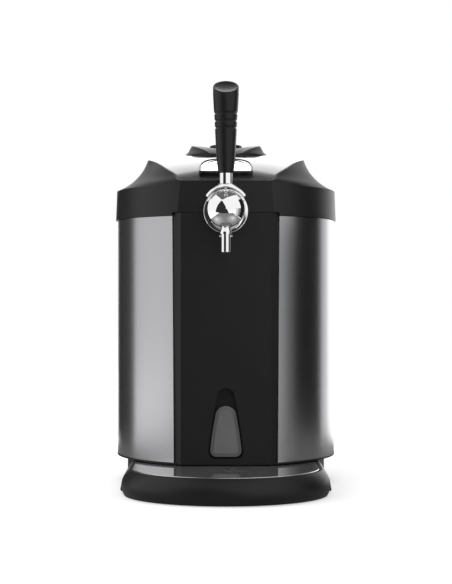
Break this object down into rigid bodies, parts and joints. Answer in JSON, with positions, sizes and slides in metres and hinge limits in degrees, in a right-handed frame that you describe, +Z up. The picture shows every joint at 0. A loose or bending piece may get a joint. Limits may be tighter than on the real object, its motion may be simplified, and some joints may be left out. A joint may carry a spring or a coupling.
{
  "type": "mini keg beer dispenser",
  "caption": "Upright mini keg cooler and dispenser with a ball tap and lever handle, tilting domed lid, brushed steel sides and a pull-out drip tray.",
  "frame": {"origin": "centre of the overall footprint, on the surface that the feet stand on", "axes": "+Z up, -Y towards the tap and the drip tray, +X to the right of someone facing the tap"},
  "size_m": [0.275, 0.4041, 0.473],
  "materials": {
    "satin_black": "satin",
    "gloss_black": "gloss",
    "handle_black": "satin",
    "panel_black": "satin",
    "brushed_steel": "brushed",
    "chrome": "polished",
    "polished_steel": "polished",
    "smoked_lens": "satin",
    "liner_grey": "satin",
    "foam": "matte",
    "rubber": "matte",
    "zinc_steel": "satin",
    "aluminium": "matte",
    "board_green": "matte",
    "ceramic_white": "matte",
    "fan_black": "matte",
    "valve_white": "satin",
    "brass": "satin"
  },
  "bodies": {
    "housing": {"base_housing": "satin_black", "base_plate": "satin_black", "base_screws": "zinc_steel", "rubber_feet": "rubber", "tray_guides": "satin_black", "power_board": "board_green", "bottom_rim": "satin_black", "keg_chamber": "liner_grey", "insulation": "foam", "side_panel_left": "brushed_steel", "side_panel_right": "brushed_steel", "top_collar": "satin_black", "lid_gasket": "rubber", "front_panel": "panel_black", "status_lens": "smoked_lens", "lamp_board": "board_green", "hinge_ears": "satin_black", "hinge_pin": "zinc_steel", "tap_flange": "chrome", "tap_shank": "chrome", "shank_nut": "brass", "hose_barb": "brass", "tap_ball": "chrome", "spout_tube": "chrome", "rear_housing": "satin_black", "rear_shelf": "satin_black", "cold_block": "aluminium", "temperature_sensor": "zinc_steel", "peltier_module": "ceramic_white", "heat_sink": "aluminium", "fan_frame": "fan_black", "fan_grille": "satin_black", "fan_screws": "zinc_steel", "power_inlet": "fan_black", "switch_frame": "fan_black", "circuit_board": "board_green"},
    "lid": {"lid_band": "gloss_black", "lid_shell": "satin_black", "lid_liner": "liner_grey", "lid_foam": "foam", "crown_collar": "satin_black", "crown_grip": "satin_black", "button_bezel": "gloss_black", "button_spring": "zinc_steel", "hinge_leaf": "satin_black", "leaf_screws": "zinc_steel"},
    "lid_button": {"lid_button": "chrome"},
    "latch": {"lid_latch": "satin_black"},
    "tap_lever": {"valve_core": "valve_white", "tap_saddle": "chrome", "tap_stem": "chrome", "tap_handle": "handle_black"},
    "drip_tray": {"drip_tray": "satin_black", "tray_tub": "satin_black", "tray_grips": "satin_black"},
    "drip_plate": {"drip_plate": "polished_steel"},
    "fan": {"fan_rotor": "fan_black"},
    "switch": {"power_switch": "fan_black"}
  },
  "joints": [
    {"name": "lid_tilt", "type": "hinge", "parent": "housing", "child": "lid", "pos_m": [0, 0.1917, 0.322], "axis": [-1, 0, 0], "range_deg": [0, 80]},
    {"name": "lid_button_press", "type": "slide", "parent": "lid", "child": "lid_button", "axis": [0, 0.434, -0.9009], "range_m": [0, 0.0025], "stiffness_N_per_m": 600, "deforming": ["button_spring"]},
    {"name": "latch_slide", "type": "slide", "parent": "lid", "child": "latch", "axis": [0, 1, 0], "range_m": [0, 0.0025]},
    {"name": "tap_lever_tilt", "type": "hinge", "parent": "housing", "child": "tap_lever", "pos_m": [0, -0.1243, 0.3255], "axis": [1, 0, 0], "range_deg": [0, 30]},
    {"name": "tray_slide", "type": "slide", "parent": "housing", "child": "drip_tray", "axis": [0, -1, 0], "range_m": [0, 0.11]},
    {"name": "plate_lift", "type": "slide", "parent": "drip_tray", "child": "drip_plate", "axis": [0, 0, 1], "range_m": [0, 0.03]},
    {"name": "fan_spin", "type": "hinge", "parent": "housing", "child": "fan", "pos_m": [0, 0.1917, 0.19], "axis": [0, 1, 0], "continuous": true},
    {"name": "switch_rock", "type": "hinge", "parent": "housing", "child": "switch", "pos_m": [0.038, 0.1947, 0.066], "axis": [1, 0, 0], "range_deg": [0, 18]}
  ],
  "couplings": [
    {"joint": "latch_slide", "follows": "lid_button_press", "ratio": 1}
  ]
}
